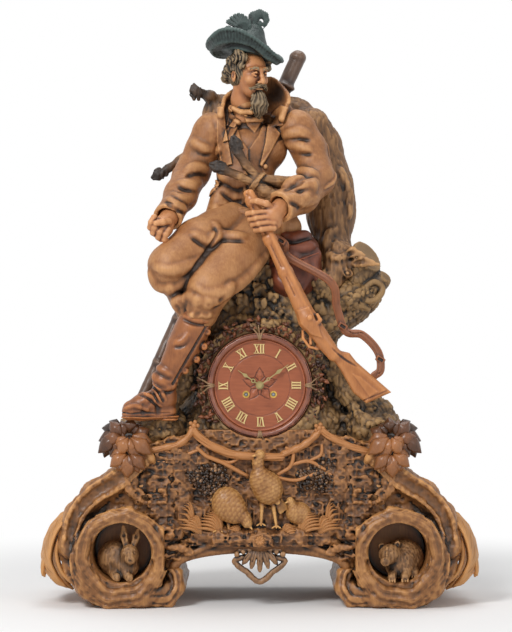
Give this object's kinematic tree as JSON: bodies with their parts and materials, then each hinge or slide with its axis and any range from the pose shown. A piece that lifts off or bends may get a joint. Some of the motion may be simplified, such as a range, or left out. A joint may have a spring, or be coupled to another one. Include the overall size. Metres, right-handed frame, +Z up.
{
  "type": "carved mantel clock",
  "caption": "Carved wooden mantel clock: a seated hunter with rifle and game over a round dial, on a scrolled base with animals in its burrows; striking movement with pendulum.",
  "frame": {"origin": "middle of the footprint, on the surface the clock stands on", "axes": "+Z up, the dial faces -Y, +X to the viewer's right"},
  "size_m": [0.694, 0.2881, 0.9536],
  "materials": {
    "base_wood": "waxed, hand carved",
    "bark_wood": "waxed, hand carved",
    "light_wood": "waxed, hand carved",
    "leaf_wood": "smooth, polished",
    "dial_wood": "turned and polished",
    "cloth_wood": "waxed, hand carved",
    "flesh_wood": "waxed, hand carved",
    "boot_wood": "smooth, polished",
    "hat_wood": "dark green stain",
    "rifle_wood": "smooth, polished",
    "strap_wood": "waxed, hand carved",
    "staff_wood": "dark stain, polished",
    "fur_wood": "waxed, hand carved",
    "bag_wood": "smooth, polished",
    "inner_wood": "plain planed",
    "numeral": "bone coloured inlay",
    "hands": "bone coloured, cut thin",
    "brass": "polished",
    "steel": "polished"
  },
  "bodies": {
    "case": {"base_block": "base_wood", "panel_carving": "base_wood", "scroll_foot_left": "light_wood", "scroll_foot_right": "light_wood", "acanthus_leaves": "leaf_wood", "leaf_cluster_left": "leaf_wood", "leaf_cluster_right": "leaf_wood", "apron_pendant": "base_wood", "twig_garland": "light_wood", "hare": "fur_wood", "badger": "fur_wood", "bird_standing": "fur_wood", "bird_feeding": "fur_wood", "bird_resting": "fur_wood", "case_dowels": "inner_wood", "trunk": "bark_wood", "branch_stub": "bark_wood", "bezel": "dial_wood", "dial": "dial_wood", "numerals": "numeral", "winding_collets": "brass", "hunter_torso": "cloth_wood", "hunter_legs": "cloth_wood", "hunter_gaiter": "boot_wood", "hunter_head": "flesh_wood", "hunter_right_arm": "cloth_wood", "hunter_left_arm": "cloth_wood", "hat": "hat_wood", "hat_plume": "hat_wood", "rifle": "rifle_wood", "rifle_sling": "strap_wood", "staff": "staff_wood", "deer": "fur_wood", "deer_forelegs": "fur_wood", "game_bag": "bag_wood", "front_plate": "brass", "back_plate": "brass", "plate_pillars": "brass", "bell": "brass", "case_hinge_leaves": "brass"},
    "minute_hand_set": {"cannon_pinion": "steel", "minute_hand": "hands"},
    "motion_wheel": {"minute_work": "brass"},
    "hour_hand_set": {"hour_wheel": "brass", "hour_hand": "hands"},
    "time_barrel": {"time_barrel": "brass"},
    "time_winding": {"time_winding_arbor": "steel"},
    "centre_arbor": {"centre_arbor": "brass"},
    "third_arbor": {"third_arbor": "brass"},
    "escape_arbor": {"escape_arbor": "brass"},
    "pallets": {"pallets_and_crutch": "steel"},
    "pendulum": {"pendulum": "brass"},
    "strike_barrel": {"strike_barrel": "brass"},
    "strike_winding": {"strike_winding_arbor": "steel"},
    "pin_wheel": {"pin_wheel_arbor": "brass"},
    "fly": {"fly_arbor": "brass"},
    "hammer": {"hammer": "steel"},
    "back_door": {"back_door": "inner_wood", "door_hinge_leaves": "brass", "door_knob": "brass"}
  },
  "joints": [
    {"name": "minute_turn", "type": "hinge", "parent": "case", "child": "minute_hand_set", "pos_m": [0, -0.068, 0.349], "axis": [0, 1, 0], "continuous": true},
    {"name": "motion_wheel_turn", "type": "hinge", "parent": "case", "child": "motion_wheel", "pos_m": [-0.01358, -0.068, 0.36258], "axis": [0, 1, 0], "continuous": true},
    {"name": "hour_turn", "type": "hinge", "parent": "case", "child": "hour_hand_set", "pos_m": [0, -0.068, 0.349], "axis": [0, 1, 0], "continuous": true},
    {"name": "third_turn", "type": "hinge", "parent": "case", "child": "third_arbor", "pos_m": [-0.01006, -0.068, 0.3645], "axis": [0, 1, 0], "continuous": true},
    {"name": "centre_turn", "type": "hinge", "parent": "case", "child": "centre_arbor", "pos_m": [0, -0.068, 0.349], "axis": [0, 1, 0], "continuous": true},
    {"name": "time_barrel_turn", "type": "hinge", "parent": "case", "child": "time_barrel", "pos_m": [0.0217, -0.068, 0.3344], "axis": [0, 1, 0], "continuous": true},
    {"name": "escape_turn", "type": "hinge", "parent": "case", "child": "escape_arbor", "pos_m": [0, -0.068, 0.37614], "axis": [0, 1, 0], "continuous": true},
    {"name": "time_winding_turn", "type": "hinge", "parent": "case", "child": "time_winding", "pos_m": [0.0217, -0.068, 0.3344], "axis": [0, 1, 0], "continuous": true},
    {"name": "pin_wheel_turn", "type": "hinge", "parent": "case", "child": "pin_wheel", "pos_m": [-0.02624, -0.068, 0.36016], "axis": [0, 1, 0], "continuous": true},
    {"name": "strike_barrel_turn", "type": "hinge", "parent": "case", "child": "strike_barrel", "pos_m": [-0.0217, -0.068, 0.3344], "axis": [0, 1, 0], "continuous": true},
    {"name": "fly_turn", "type": "hinge", "parent": "case", "child": "fly", "pos_m": [-0.03048, -0.068, 0.37181], "axis": [0, 1, 0], "continuous": true},
    {"name": "strike_winding_turn", "type": "hinge", "parent": "case", "child": "strike_winding", "pos_m": [-0.0217, -0.068, 0.3344], "axis": [0, 1, 0], "continuous": true},
    {"name": "pendulum_swing", "type": "hinge", "parent": "case", "child": "pendulum", "pos_m": [0, -0.0186, 0.38874], "axis": [0, 1, 0], "range_deg": [-4, 4]},
    {"name": "pallet_rock", "type": "hinge", "parent": "case", "child": "pallets", "pos_m": [0, -0.027, 0.38874], "axis": [0, 1, 0], "range_deg": [-4, 4]},
    {"name": "hammer_strike", "type": "hinge", "parent": "case", "child": "hammer", "pos_m": [-0.0385, -0.027, 0.3635], "axis": [0, 1, 0], "range_deg": [-4, 14], "stiffness_Nm_per_rad": 0.02},
    {"name": "back_door_swing", "type": "hinge", "parent": "case", "child": "back_door", "pos_m": [-0.066, 0.14245, 0.304], "axis": [0, 0, 1], "range_deg": [0, 110]}
  ],
  "couplings": [
    {"joint": "motion_wheel_turn", "follows": "minute_turn", "ratio": -0.33333},
    {"joint": "hour_turn", "follows": "minute_turn", "ratio": 0.083333},
    {"joint": "centre_turn", "follows": "third_turn", "ratio": -0.1},
    {"joint": "time_barrel_turn", "follows": "third_turn", "ratio": 0.014286},
    {"joint": "escape_turn", "follows": "third_turn", "ratio": -12.5},
    {"joint": "strike_barrel_turn", "follows": "pin_wheel_turn", "ratio": -0.14286},
    {"joint": "fly_turn", "follows": "pin_wheel_turn", "ratio": -6.75},
    {"joint": "pallet_rock", "follows": "pendulum_swing", "ratio": 1}
  ]
}
